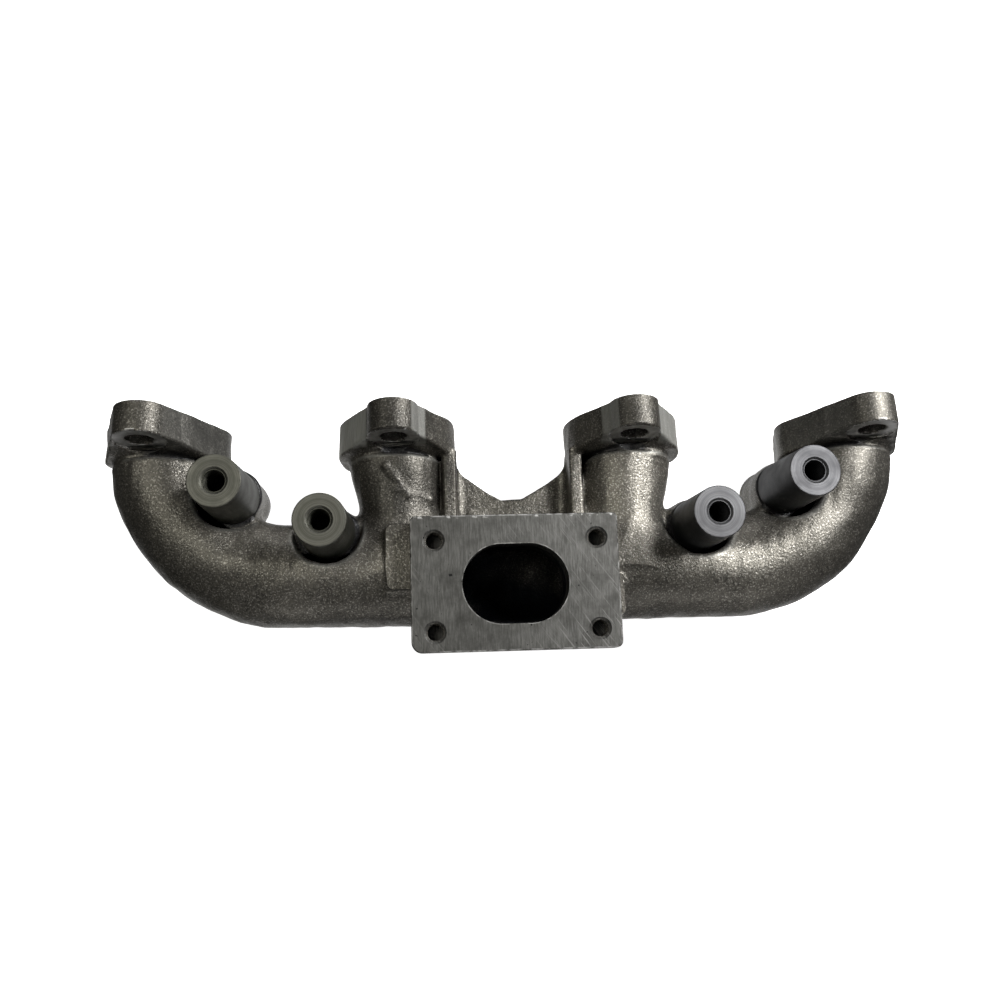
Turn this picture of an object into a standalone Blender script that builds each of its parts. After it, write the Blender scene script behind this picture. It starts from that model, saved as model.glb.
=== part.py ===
"""Cast-iron exhaust manifold for four in-line cylinders, with a four-stud turbocharger flange.

Metres. The drawing frame has its origin at the middle of the turbocharger stud pattern, on the
machined face of that flange: +X along the row of cylinders, +Y towards the cylinder head, +Z out
of the turbocharger face. The empty "manifold" moves the drawing frame so that the world origin
is the centre of the underside of the part's box.
"""

import math

import bmesh
import bpy
from mathutils import Vector

GAP = 0.0003                      # clearance between solids that touch
SHARP_ANGLE = math.radians(35)
EDGE_BREAK = 0.0008               # chamfer on the outline of each plate
TUBE_SEGMENTS = 28
ROUND_SEGMENTS = 32
HOLE_SEGMENTS = 20

# Drawing frame to world frame
DRAWING_SHIFT = (0.0, -0.02737, 0.07918)

# Turbocharger flange
TURBO_CENTRE_X = -0.0023
TURBO_HALF_WIDTH = 0.046
TURBO_TOP = 0.031
TURBO_BOTTOM = -0.0286
TURBO_THICKNESS = 0.011
TURBO_CORNER = 0.0025
TURBO_CUT_CORNER = 0.0045         # larger bottom left corner
STUD_CENTRE_X = -0.002
STUD_HALF_X = 0.036
STUD_HALF_Y = 0.020
STUD_HOLE_RADIUS = 0.0034
STUD_CHAMFER_RADIUS = 0.0047
STUD_HOLE_DEPTH = 0.0098
PORT_HALF_WIDTH = 0.0235
PORT_HALF_HEIGHT = 0.0175
PORT_CENTRE_Y = 0.0005
NECK_WALL = 0.0065                # wall of the turbocharger neck round its port
TURBO_NECK_BACK = -0.030

# Gas runners
RUNNER_Z = -0.037
LOG_Y = 0.0095
LOG_RADIUS = 0.024
PASSAGE_RADIUS = 0.0155
BEND_CENTRE_X = 0.1035
BEND_RADIUS = 0.060
BEND_STEPS = 8
BEND_END = math.radians(62)
BEND_SPLIT_STEP = 5               # step of the bend where its upper run starts
TEE_OUTER_X = 0.078               # where the straight log meets the tee under the inner port
TEE_INNER_X = 0.033               # where the tee meets the collector
COLLECTOR_Y = 0.0055
COLLECTOR_HALF_DEPTH = 0.022
COLLECTOR_HALF_HEIGHT = 0.027
COLLECTOR_WALL = 0.0075
COLLECTOR_XS = (-0.025, -0.014, 0.0, 0.014, 0.025)
COLLECTOR_BLEND = 0.019
INNER_RUNNER_RADIUS = 0.020
INNER_RUNNER_LOW_Y = 0.016
WAIST_RADIUS = 0.0185             # waist of each runner under its head flange
WAIST_HEIGHT = 0.006
SHOULDER = 0.0028
OUTER_PORT = (0.1605, 0.029)      # port centre: across, and depth along the head face
INNER_PORT = (0.054, 0.028)

# Head flanges: the face leans back by this angle from square to the turbocharger face
HEAD_TILT = math.radians(7)
HEAD_PLANE_Y = 0.0679             # underside of the flanges at the front bolt holes
HEAD_PLANE_Z = -0.0066
HEAD_THICKNESS = 0.014
BOLT_HOLE_RADIUS = 0.00625
SPOT_FACE_RADIUS = 0.0116
SPOT_FACE_DEPTH = 0.0006
SPOT_FACE_REACH = 0.0095
# Discs (across, depth, radius) whose hull is the outline; the first two hold the bolts
INNER_OUTLINE = ((0.055, 0.0, 0.013), (0.053, 0.056, 0.013), (0.054, 0.028, 0.0275))
OUTER_OUTLINE = (
    (0.167, -0.001, 0.0125),
    (0.154, 0.059, 0.0125),
    (0.145, 0.031, 0.012),
    (0.176, 0.027, 0.0125),
)

# Threaded posts
POST_FACE_Z = 0.015
POST_FACE_RADIUS = 0.0115
POST_ROOT_RADIUS = 0.0125
POST_HOLE_RADIUS = 0.00425
POST_CHAMFER_RADIUS = 0.0056
POST_HOLE_DEPTH = 0.025
POST_EDGE = 0.0004
RELIEF_RADIUS = 0.016             # turned recess in the runner round each post
OUTER_POST = (0.130, 0.0455)
OUTER_POST_STEP_Z = -0.027
OUTER_POST_BACK_Z = -0.056
OUTER_RELIEF_Z = -0.0205
INNER_POST = (0.086, 0.028)
INNER_POST_BACK_Z = -0.038
INNER_RELIEF_Z = -0.0192

# Ribs, web and pads
RIB_X = (0.027, 0.0325)
RIB_LOW_Y = 0.020
RIB_HIGH_Y = 0.080
RIB_Z = (-0.041, -0.0245)
WEB_HALF_WIDTH = 0.0267
WEB_HALF_FLAT = 0.005
WEB_Z = (-0.051, -0.038)
WEB_FOOT_Y = 0.022
WEB_LOW_Y = 0.044
WEB_HIGH_Y = 0.0575
PADS = {                          # x range, y range, back, corner radius
    "left": ((-0.059, -0.034), (0.0, 0.029), -0.034, 0.004),
    "right": ((0.0305, 0.0475), (-0.0135, 0.004), -0.030, 0.003),
}

SIDES = {"left": -1, "right": 1}


def clear_scene():
    for obj in list(bpy.data.objects):
        bpy.data.objects.remove(obj)


def make_material(name, color, roughness, metallic):
    material = bpy.data.materials.new(name)
    material.use_nodes = True
    shader = material.node_tree.nodes["Principled BSDF"]
    shader.inputs["Base Color"].default_value = (*color, 1.0)
    shader.inputs["Roughness"].default_value = roughness
    shader.inputs["Metallic"].default_value = metallic
    return material


def add_empty(name, parent, location, rotation_x=0.0):
    empty = bpy.data.objects.new(name, None)
    bpy.context.scene.collection.objects.link(empty)
    empty.parent = parent
    empty.location = location
    empty.rotation_euler = (rotation_x, 0, 0)
    return empty


def add_object(name, bm, parent, material=None, location=(0, 0, 0)):
    """Make an object of bm. With no material it is a hidden cutter."""
    bmesh.ops.recalc_face_normals(bm, faces=bm.faces)
    mesh = bpy.data.meshes.new(name)
    bm.to_mesh(mesh)
    bm.free()
    mesh.shade_smooth()
    mesh.set_sharp_from_angle(angle=SHARP_ANGLE)
    obj = bpy.data.objects.new(name, mesh)
    bpy.context.scene.collection.objects.link(obj)
    obj.parent = parent
    obj.location = location
    if material:
        own = material.copy()
        own.name = name
        mesh.materials.append(own)
    else:
        obj.hide_render = True
        obj.display_type = "WIRE"
    return obj


def cut(obj, cutter):
    modifier = obj.modifiers.new(cutter.name, "BOOLEAN")
    modifier.operation = "DIFFERENCE"
    modifier.solver = "EXACT"
    modifier.object = cutter


def break_edges(obj):
    modifier = obj.modifiers.new("edge_break", "BEVEL")
    modifier.width = EDGE_BREAK
    modifier.segments = 1
    modifier.limit_method = "ANGLE"
    modifier.angle_limit = math.radians(60)


def circle(radius, segments):
    steps = [2 * math.pi * i / segments for i in range(segments)]
    return [(radius * math.cos(a), radius * math.sin(a)) for a in steps]


def prism(outline, low, high):
    """Solid between z=low and z=high over a closed outline of (x, y)."""
    bm = bmesh.new()
    base = bm.faces.new([bm.verts.new((x, y, low)) for x, y in outline])
    top = bmesh.ops.extrude_face_region(bm, geom=[base], use_keep_orig=True)["geom"]
    moved = [item for item in top if isinstance(item, bmesh.types.BMVert)]
    bmesh.ops.translate(bm, verts=moved, vec=(0, 0, high - low))
    return bm


def hull(discs, low, high, segments=ROUND_SEGMENTS):
    """Solid between z=low and z=high whose outline is the hull of discs (x, y, radius)."""
    bm = bmesh.new()
    for x, y, radius in discs:
        for dx, dy in circle(radius, segments):
            bm.verts.new((x + dx, y + dy, low))
            bm.verts.new((x + dx, y + dy, high))
    found = bmesh.ops.convex_hull(bm, input=bm.verts)
    spare = [item for item in found["geom_interior"] if isinstance(item, bmesh.types.BMVert)]
    bmesh.ops.delete(bm, geom=spare, context="VERTS")
    bmesh.ops.dissolve_limit(bm, angle_limit=math.radians(1), verts=bm.verts, edges=bm.edges)
    return bm


def rounded_box(x_range, y_range, z_range, radius):
    xs = (x_range[0] + radius, x_range[1] - radius)
    ys = (y_range[0] + radius, y_range[1] - radius)
    return hull([(x, y, radius) for x in xs for y in ys], *z_range, segments=12)


def stadium(half_width, half_height, low, high):
    reach = half_width - half_height
    ends = [(TURBO_CENTRE_X + end * reach, PORT_CENTRE_Y, half_height) for end in (-1, 1)]
    return hull(ends, low, high)


def turned(profile, segments):
    """Solid of revolution about z from (radius, z) points that start and end on the axis."""
    bm = bmesh.new()
    points = [bm.verts.new((radius, 0, z)) for radius, z in profile]
    edges = [bm.edges.new(pair) for pair in zip(points, points[1:])]
    bmesh.ops.spin(
        bm, geom=points + edges, axis=(0, 0, 1), cent=(0, 0, 0),
        angle=2 * math.pi, steps=segments, use_merge=True,
    )
    bmesh.ops.remove_doubles(bm, verts=bm.verts, dist=1e-6)
    return bm


def swept(sections, segments=TUBE_SEGMENTS):
    """Tube through sections (centre, u, v, outer radii, inner radii), solid if inner is None."""
    bm = bmesh.new()
    skins = []
    for key in (3, 4):
        rings = []
        for section in sections:
            if section[key] is None:
                continue
            centre, u, v = (Vector(item) for item in section[:3])
            a, b = section[key]
            points = [centre + u * a * x + v * b * y for x, y in circle(1, segments)]
            rings.append([bm.verts.new(point) for point in points])
        for ring, following in zip(rings, rings[1:]):
            for i in range(segments):
                j = (i + 1) % segments
                bm.faces.new((ring[i], ring[j], following[j], following[i]))
        skins.append(rings)
    outer, inner = skins
    for end in (0, -1):
        if not inner:
            bm.faces.new(outer[end])
            continue
        for i in range(segments):
            j = (i + 1) % segments
            bm.faces.new((outer[end][i], outer[end][j], inner[end][j], inner[end][i]))
    return bm


def head_point(x, depth, height):
    """Drawing-frame point: across, depth back along the head face, height over its underside."""
    y = HEAD_PLANE_Y - depth * math.sin(HEAD_TILT) + height * math.cos(HEAD_TILT)
    z = HEAD_PLANE_Z - depth * math.cos(HEAD_TILT) - height * math.sin(HEAD_TILT)
    return Vector((x, y, z))


def log_section(x, grow=0.0, hollow=True):
    outer = LOG_RADIUS + grow
    hole = (PASSAGE_RADIUS, PASSAGE_RADIUS) if hollow else None
    return ((x, LOG_Y, RUNNER_Z), (0, 0, 1), (0, -1, 0), (outer, outer), hole)


def collector_sections(grow=0.0, hollow=True, end_x=TEE_INNER_X):
    """From the left tee's circle through a flatter, taller oval to the right tee's circle."""
    sections = [log_section(-end_x, grow, hollow)]
    for x in COLLECTOR_XS:
        mix = min(1.0, (TEE_INNER_X - abs(x)) / COLLECTOR_BLEND)
        mix = mix * mix * (3 - 2 * mix)
        depth = LOG_RADIUS + mix * (COLLECTOR_HALF_DEPTH - LOG_RADIUS)
        height = LOG_RADIUS + mix * (COLLECTOR_HALF_HEIGHT - LOG_RADIUS)
        centre = (x, LOG_Y + mix * (COLLECTOR_Y - LOG_Y), RUNNER_Z)
        hole = (depth - COLLECTOR_WALL, height - COLLECTOR_WALL) if hollow else None
        sections.append((centre, (0, 0, 1), (0, -1, 0), (depth + grow, height + grow), hole))
    return sections + [log_section(end_x, grow, hollow)]


def port_sections(side, port, radius, grow=0.0, hollow=True):
    """Top of a runner, square to the head face: shoulder, then a waist up to the flange."""
    x, depth = port
    back = (0, math.sin(HEAD_TILT), math.cos(HEAD_TILT))
    hole = (PASSAGE_RADIUS, PASSAGE_RADIUS) if hollow else None
    rows = (
        (WAIST_HEIGHT + SHOULDER, radius + grow),
        (WAIST_HEIGHT, radius + grow - SHOULDER),
        (WAIST_HEIGHT - 0.0002, WAIST_RADIUS + grow),
        (GAP, WAIST_RADIUS + grow),
    )
    return [
        (head_point(side * x, depth, -below), back, (side, 0, 0), (outer, outer), hole)
        for below, outer in rows
    ]


def bend_sections(side, grow=0.0, hollow=True):
    """From the end of the straight log round the bend to the waist under the outer flange."""
    outer = (LOG_RADIUS + grow, LOG_RADIUS + grow)
    hole = (PASSAGE_RADIUS, PASSAGE_RADIUS) if hollow else None
    sections = []
    for step in range(BEND_STEPS + 1):
        angle = BEND_END * step / BEND_STEPS
        radial = Vector((side * math.sin(angle), -math.cos(angle), 0))
        centre = Vector((side * BEND_CENTRE_X, LOG_Y + BEND_RADIUS, RUNNER_Z))
        centre += radial * BEND_RADIUS
        if step == 0:
            centre.x += side * GAP / 2
        sections.append((centre, (0, 0, 1), radial, outer, hole))
    last = sections[-1]
    port = port_sections(side, OUTER_PORT, LOG_RADIUS, grow, hollow)
    for mix in (0.35, 0.7):
        centre, u, v = (Vector(a).lerp(Vector(b), mix) for a, b in zip(last[:3], port[0][:3]))
        sections.append((centre, u.normalized(), v.normalized(), outer, hole))
    return sections + port


def split_bend(side):
    """The bend's sections as two runs, pulled apart by the gap where they meet."""
    sections = bend_sections(side)
    angle = BEND_END * BEND_SPLIT_STEP / BEND_STEPS
    along = Vector((side * math.cos(angle), math.sin(angle), 0)) * GAP / 2
    centre, *rest = sections[BEND_SPLIT_STEP]
    lower = sections[:BEND_SPLIT_STEP] + [(centre - along, *rest)]
    upper = [(centre + along, *rest)] + sections[BEND_SPLIT_STEP + 1:]
    return lower, upper


def inner_runner_sections(side, radius, low_y, hollow):
    x = side * INNER_PORT[0]
    hole = (PASSAGE_RADIUS, PASSAGE_RADIUS) if hollow else None
    low = ((x, low_y, RUNNER_Z), (0, 0, 1), (side, 0, 0), (radius, radius), hole)
    return [low] + port_sections(side, INNER_PORT, radius, 0.0, hollow)


def passage_cutter(name, parent, side):
    """Solid the shape of the inner port's passage, from the middle of the log upwards."""
    sections = inner_runner_sections(side, PASSAGE_RADIUS, LOG_Y, False)
    straight = [sections[0], (*sections[1][:3], sections[0][3], None)]
    return add_object(name, swept(straight), parent)


def whole_run(grow, low_z=None):
    """Solid the size of the collector, tees, logs and bends together, grown on every side.

    With low_z, only the part of it behind that height.
    """
    left = bend_sections(SIDES["left"], grow, False)
    right = bend_sections(SIDES["right"], grow, False)
    bm = swept(left[::-1] + collector_sections(grow, False) + right)
    if low_z is not None:
        geometry = list(bm.verts) + list(bm.edges) + list(bm.faces)
        bmesh.ops.bisect_plane(
            bm, geom=geometry, plane_co=(0, 0, low_z), plane_no=(0, 0, 1), clear_outer=True,
        )
        bmesh.ops.holes_fill(bm, edges=bm.edges)
    return bm


def build_turbo_flange(parent, material):
    """Thick plate with a wide port and four blind tapped stud holes."""
    low_x = TURBO_CENTRE_X - TURBO_HALF_WIDTH
    high_x = TURBO_CENTRE_X + TURBO_HALF_WIDTH
    corners = (
        (low_x, TURBO_BOTTOM, TURBO_CUT_CORNER),
        (high_x, TURBO_BOTTOM, TURBO_CORNER),
        (high_x, TURBO_TOP, TURBO_CORNER),
        (low_x, TURBO_TOP, TURBO_CORNER),
    )
    discs = []
    for x, y, radius in corners:
        inward_x = radius if x == low_x else -radius
        inward_y = radius if y == TURBO_BOTTOM else -radius
        discs.append((x + inward_x, y + inward_y, radius))
    plate = hull(discs, -TURBO_THICKNESS, 0, segments=16)
    flange = add_object("turbo_flange", plate, parent, material)
    break_edges(flange)
    port = stadium(PORT_HALF_WIDTH, PORT_HALF_HEIGHT, 1.1 * RUNNER_Z, 0.002)
    port_cutter = add_object("cut_turbo_port", port, parent)
    cut(flange, port_cutter)
    chamfer = STUD_CHAMFER_RADIUS - STUD_HOLE_RADIUS
    profile = (
        (0, -STUD_HOLE_DEPTH),
        (STUD_HOLE_RADIUS, -STUD_HOLE_DEPTH),
        (STUD_HOLE_RADIUS, -chamfer),
        (STUD_CHAMFER_RADIUS + chamfer, chamfer),
        (0, chamfer),
    )
    for index, (along, up) in enumerate(((-1, 1), (1, 1), (-1, -1), (1, -1))):
        place = (STUD_CENTRE_X + along * STUD_HALF_X, up * STUD_HALF_Y, 0)
        hole = turned(profile, HOLE_SEGMENTS)
        cut(flange, add_object(f"cut_stud_{index}", hole, parent, location=place))
    return port_cutter


def build_neck_and_pads(parent, material, run_cutter, port_cutter, runner_cutters):
    back = -TURBO_THICKNESS - GAP
    width = PORT_HALF_WIDTH + NECK_WALL
    height = PORT_HALF_HEIGHT + NECK_WALL
    wall = stadium(width, height, TURBO_NECK_BACK, back)
    neck = add_object("turbo_neck", wall, parent, material)
    cut(neck, run_cutter)
    cut(neck, port_cutter)
    for side, (x_range, y_range, low, radius) in PADS.items():
        bm = rounded_box(x_range, y_range, (low, back), radius)
        pad = add_object(f"turbo_pad_{side}", bm, parent, material)
        cut(pad, run_cutter)
        if side == "left":
            cut(pad, runner_cutters[side])


def build_lower_run(parent, material, port_cutter, relief_cutters):
    """Collector in the middle, then on each side a tee, a log, a bend and its runner."""
    end = TEE_INNER_X - GAP / 2
    collector = add_object("collector", swept(collector_sections(end_x=end)), parent, material)
    cut(collector, port_cutter)
    for side_name, side in SIDES.items():
        tee_ends = (side * (TEE_INNER_X + GAP / 2), side * (TEE_OUTER_X - GAP / 2))
        tee = swept([log_section(x) for x in tee_ends])
        tee = add_object(f"junction_{side_name}", tee, parent, material)
        cut(tee, passage_cutter(f"cut_passage_{side_name}", parent, side))
        log_ends = (side * (TEE_OUTER_X + GAP / 2), side * (BEND_CENTRE_X - GAP / 2))
        log = swept([log_section(x) for x in log_ends])
        log = add_object(f"log_{side_name}", log, parent, material)
        lower, upper = split_bend(side)
        bend = add_object(f"outer_bend_{side_name}", swept(lower), parent, material)
        runner = add_object(f"outer_runner_{side_name}", swept(upper), parent, material)
        cut(tee, relief_cutters["inner", side_name])
        cut(log, relief_cutters["inner", side_name])
        cut(bend, relief_cutters["outer", side_name])
        cut(runner, relief_cutters["outer", side_name])


def build_inner_runners(parent, material, run_cutter):
    runners = {}
    for side_name, side in SIDES.items():
        sections = inner_runner_sections(side, INNER_RUNNER_RADIUS, INNER_RUNNER_LOW_Y, True)
        runner = add_object(f"inner_runner_{side_name}", swept(sections), parent, material)
        cut(runner, run_cutter)
        runners[side_name] = runner
    return runners


def build_head_flanges(head_plane, material, runners):
    """Four flanges on the leaning head face, numbered from the left, with their spot faces."""
    plans = (
        (1, "left", OUTER_OUTLINE, OUTER_PORT),
        (2, "left", INNER_OUTLINE, INNER_PORT),
        (3, "right", INNER_OUTLINE, INNER_PORT),
        (4, "right", OUTER_OUTLINE, OUTER_PORT),
    )
    for number, side_name, outline, port in plans:
        side = SIDES[side_name]
        discs = [(side * x, depth, radius) for x, depth, radius in outline]
        plate = hull(discs, 0, HEAD_THICKNESS)
        flange = add_object(f"head_flange_{number}", plate, head_plane, material)
        break_edges(flange)
        through = (-0.002, HEAD_THICKNESS + 0.002)
        hole = prism(circle(PASSAGE_RADIUS, TUBE_SEGMENTS), *through)
        place = (side * port[0], port[1], 0)
        cut(flange, add_object(f"cut_port_{number}", hole, head_plane, location=place))
        for end, (x, depth, _) in zip(("front", "back"), outline):
            place = (side * x, depth, 0)
            hole = prism(circle(BOLT_HOLE_RADIUS, HOLE_SEGMENTS), *through)
            name = f"{number}_{end}"
            cut(flange, add_object(f"cut_bolt_{name}", hole, head_plane, location=place))
            spot = prism(circle(SPOT_FACE_RADIUS, TUBE_SEGMENTS), -SPOT_FACE_REACH, SPOT_FACE_DEPTH)
            spot = add_object(f"cut_spot_{name}", spot, head_plane, location=place)
            cut(flange, spot)
            cut(runners[number], spot)


def post_profile(back_profile):
    chamfer = POST_CHAMFER_RADIUS - POST_HOLE_RADIUS
    bottom = POST_FACE_Z - POST_HOLE_DEPTH
    return (
        *back_profile,
        (POST_FACE_RADIUS, POST_FACE_Z - POST_EDGE),
        (POST_FACE_RADIUS - POST_EDGE, POST_FACE_Z),
        (POST_CHAMFER_RADIUS, POST_FACE_Z),
        (POST_HOLE_RADIUS, POST_FACE_Z - chamfer),
        (POST_HOLE_RADIUS, bottom),
        (0, bottom - POST_HOLE_RADIUS * 0.6),
    )


def relief_cutter(name, parent, place, floor):
    ring = prism(circle(RELIEF_RADIUS, ROUND_SEGMENTS), floor, 0)
    return add_object(name, ring, parent, location=(*place, 0))


def build_posts(parent, material, runner_cutters):
    """Two tapped posts a side: one in the crook of the bend, one over the log."""
    outer_profile = post_profile((
        (0, OUTER_POST_BACK_Z),
        (0.007, OUTER_POST_BACK_Z + 0.0012),
        (0.0115, OUTER_POST_BACK_Z + 0.0055),
        (POST_ROOT_RADIUS + 0.0006, OUTER_POST_BACK_Z + 0.011),
        (POST_ROOT_RADIUS + 0.0006, OUTER_POST_STEP_Z),
        (POST_ROOT_RADIUS, OUTER_POST_STEP_Z + 0.0006),
        (POST_ROOT_RADIUS, OUTER_RELIEF_Z),
    ))
    inner_profile = post_profile((
        (0, INNER_POST_BACK_Z),
        (POST_ROOT_RADIUS - 0.003, INNER_POST_BACK_Z),
        (POST_ROOT_RADIUS, INNER_POST_BACK_Z + 0.003),
        (POST_ROOT_RADIUS, INNER_RELIEF_Z),
    ))
    plans = (
        ("outer", OUTER_POST, outer_profile, OUTER_RELIEF_Z),
        ("inner", INNER_POST, inner_profile, INNER_RELIEF_Z),
    )
    for kind, (x, y), profile, floor in plans:
        under = add_object(f"cut_under_{kind}", whole_run(GAP, floor + GAP), parent)
        for side_name, side in SIDES.items():
            bm = turned(profile, ROUND_SEGMENTS)
            name = f"{kind}_post_{side_name}"
            post = add_object(name, bm, parent, material, (side * x, y, 0))
            cut(post, under)
            if kind == "inner":
                cut(post, runner_cutters[side_name])


def build_web(parent, head_plane, material, run_cutter):
    """Rib beside each inner runner and the dipped web between the two ribs."""
    above = prism([(-0.1, -0.1), (0.1, -0.1), (0.1, 0.1), (-0.1, 0.1)], -GAP, 0.05)
    above = add_object("cut_above_head_plane", above, head_plane)
    low_x, high_x = RIB_X
    for side_name, side in SIDES.items():
        outline = [
            (side * low_x, RIB_LOW_Y),
            (side * high_x, RIB_LOW_Y),
            (side * high_x, RIB_HIGH_Y),
            (side * low_x, RIB_HIGH_Y),
        ]
        rib = add_object(f"rib_{side_name}", prism(outline, *RIB_Z), parent, material)
        cut(rib, run_cutter)
        cut(rib, above)
    outline = [
        (-WEB_HALF_WIDTH, WEB_FOOT_Y),
        (WEB_HALF_WIDTH, WEB_FOOT_Y),
        (WEB_HALF_WIDTH, WEB_HIGH_Y),
        (WEB_HALF_FLAT, WEB_LOW_Y),
        (-WEB_HALF_FLAT, WEB_LOW_Y),
        (-WEB_HALF_WIDTH, WEB_HIGH_Y),
    ]
    web = add_object("saddle_web", prism(outline, *WEB_Z), parent, material)
    cut(web, run_cutter)


def main():
    clear_scene()
    manifold = add_empty("manifold", None, DRAWING_SHIFT)
    place = (0, HEAD_PLANE_Y, HEAD_PLANE_Z)
    head_plane = add_empty("head_plane", manifold, place, -math.pi / 2 - HEAD_TILT)
    iron = make_material("cast_iron", (0.060, 0.055, 0.050), 0.62, 0.7)
    machined = make_material("machined_iron", (0.30, 0.29, 0.27), 0.38, 1.0)

    run_cutter = add_object("cut_run", whole_run(GAP), manifold)
    port_cutter = build_turbo_flange(manifold, machined)
    relief_cutters = {}
    runner_cutters = {}
    for side_name, side in SIDES.items():
        posts = (("outer", OUTER_POST, OUTER_RELIEF_Z), ("inner", INNER_POST, INNER_RELIEF_Z))
        for kind, (x, y), floor in posts:
            name = f"cut_relief_{kind}_{side_name}"
            cutter = relief_cutter(name, manifold, (side * x, y), floor)
            relief_cutters[kind, side_name] = cutter
        solid = inner_runner_sections(side, INNER_RUNNER_RADIUS + GAP, INNER_RUNNER_LOW_Y, False)
        name = f"cut_inner_runner_{side_name}"
        runner_cutters[side_name] = add_object(name, swept(solid), manifold)
    build_neck_and_pads(manifold, iron, run_cutter, port_cutter, runner_cutters)
    build_lower_run(manifold, iron, port_cutter, relief_cutters)
    inner_runners = build_inner_runners(manifold, iron, run_cutter)
    runners = {
        1: bpy.data.objects["outer_runner_left"],
        2: inner_runners["left"],
        3: inner_runners["right"],
        4: bpy.data.objects["outer_runner_right"],
    }
    build_head_flanges(head_plane, iron, runners)
    build_posts(manifold, machined, runner_cutters)
    build_web(manifold, head_plane, iron, run_cutter)


main()
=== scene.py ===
"""Looks of the exhaust manifold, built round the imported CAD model.

The casting is modelled as one rounded solid, given by a distance function, and then sawn with
flat cuts into the same pieces as the CAD model. The turbocharger flange and the four posts are
machined, so they are built as exact meshes. All sizes are in millimetres in the drawing frame:
origin at the middle of the turbocharger stud pattern on the flange's face, +X along the row of
cylinders, +Y towards the cylinder head, +Z out of the flange's face.
"""

import math

import bmesh
import bpy
import numpy as np
from mathutils import Matrix, Vector


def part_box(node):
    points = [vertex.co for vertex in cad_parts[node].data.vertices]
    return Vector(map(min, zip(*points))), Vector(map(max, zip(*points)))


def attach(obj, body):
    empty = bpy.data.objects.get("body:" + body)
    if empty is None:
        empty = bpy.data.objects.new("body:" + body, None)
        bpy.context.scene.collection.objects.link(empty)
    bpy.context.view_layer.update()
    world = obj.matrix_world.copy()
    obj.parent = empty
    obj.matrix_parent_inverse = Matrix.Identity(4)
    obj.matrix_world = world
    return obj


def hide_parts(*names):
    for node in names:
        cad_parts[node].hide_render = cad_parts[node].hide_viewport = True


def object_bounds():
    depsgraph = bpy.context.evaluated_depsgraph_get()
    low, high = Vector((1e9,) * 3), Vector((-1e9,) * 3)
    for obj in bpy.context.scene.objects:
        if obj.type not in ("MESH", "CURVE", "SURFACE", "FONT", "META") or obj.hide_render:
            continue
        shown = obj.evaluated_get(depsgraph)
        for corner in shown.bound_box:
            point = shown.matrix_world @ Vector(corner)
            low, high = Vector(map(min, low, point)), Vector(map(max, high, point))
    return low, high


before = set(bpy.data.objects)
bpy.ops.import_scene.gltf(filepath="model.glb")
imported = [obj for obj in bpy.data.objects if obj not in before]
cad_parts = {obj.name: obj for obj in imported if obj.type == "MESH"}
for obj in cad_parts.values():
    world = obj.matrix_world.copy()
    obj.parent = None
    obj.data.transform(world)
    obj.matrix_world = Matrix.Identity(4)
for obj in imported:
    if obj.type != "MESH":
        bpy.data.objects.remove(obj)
CAD_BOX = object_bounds()

MM = 0.001

# Surface of the casting: its grid, and the swells of the sand mould
CELL = 1.0
COARSE = 4                             # cells to a step of the coarse grid
GRID_LOW = (-192.0, -34.0, -84.0)
GRID_HIGH = (192.0, 90.0, 10.0)
SEED = 7
SWELLS = ((38.0, 0.16), (21.0, 0.10), (11.0, 0.05), (6.0, 0.03))   # wavelength, height
SWELL_TOP = -9.5                       # the swells fade out here, next to the milled flange
SWELL_FADE = 3.0

# Gas runners
RUN_Z = -37.0
LOG_Y = 9.5
LOG_R = 24.0
PASSAGE_R = 15.5
BEND_X = 103.5
BEND_R = 60.0
BEND_SPLIT = math.radians(38.75)       # where the bend meets the outer runner
COLLECTOR_X = 33.0
TEE_X = 78.0
INNER_R = 20.0
WAIST_R = 16.9                         # runner between its shoulder and its flange
WAIST = 4.0                            # height of that waist
NARROW = 2.0                           # how much tighter the passage is under a port
INNER_PORT = (54.0, 28.0)
OUTER_PORT = (160.5, 29.0)

# Head flanges. Their discs are across, depth back along the leaning head face, radius.
TILT = math.radians(7)
HEAD_Y = 67.9
HEAD_Z = -6.6
HEAD_T = 14.6
HEAD_SAG = 1.9                         # how much thicker the back of a flange is
HEAD_RIM = 1.2                         # radius of its edges
SEAM = 0.4                             # how far under a flange it is sawn from its runner
INNER_DISCS = ((55, 0.6, 10.9), (53, 56, 11.5), (54, 28, 27.5))
INNER_EAR = (55.4, -1.8, 11.4)
OUTER_DISCS = ((166.6, -1, 12.2), (154, 59, 12.5), (145, 31, 12), (177.6, 28, 12.5))
BOLTS = ((55, 0), (53, 56), (167, -1), (154, 59))
BOLT_R = 6.25
SPOT_R = 11.6
SPOT_SINK = 0.6                        # depth of a spot face in its flange
SPOT_REACH = 3.8                       # how far its cutter clears the waist

# Turbocharger flange: middle, half width, half height and thickness
TURBO_X = -2.3
TURBO_Y = 1.2
TURBO_W = 46.0
TURBO_H = 29.8
TURBO_T = 11.0
TURBO_EDGE = 0.45                      # its eased edge
PORT_W = 23.5
PORT_H = 17.5
PORT_Y = 0.5
STUD_X = -2.0
STUD_DX = 36.0
STUD_DY = 20.0
STUD_DEPTH = 9.8

# The flange's face is at the height of its CAD node, its pattern at the drawing frame's origin.
FLANGE_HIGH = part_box("turbo_flange")[1]
ORIGIN = Vector((0.0, FLANGE_HIGH[1] - (TURBO_Y + TURBO_H) * MM, FLANGE_HIGH[2]))

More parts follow.
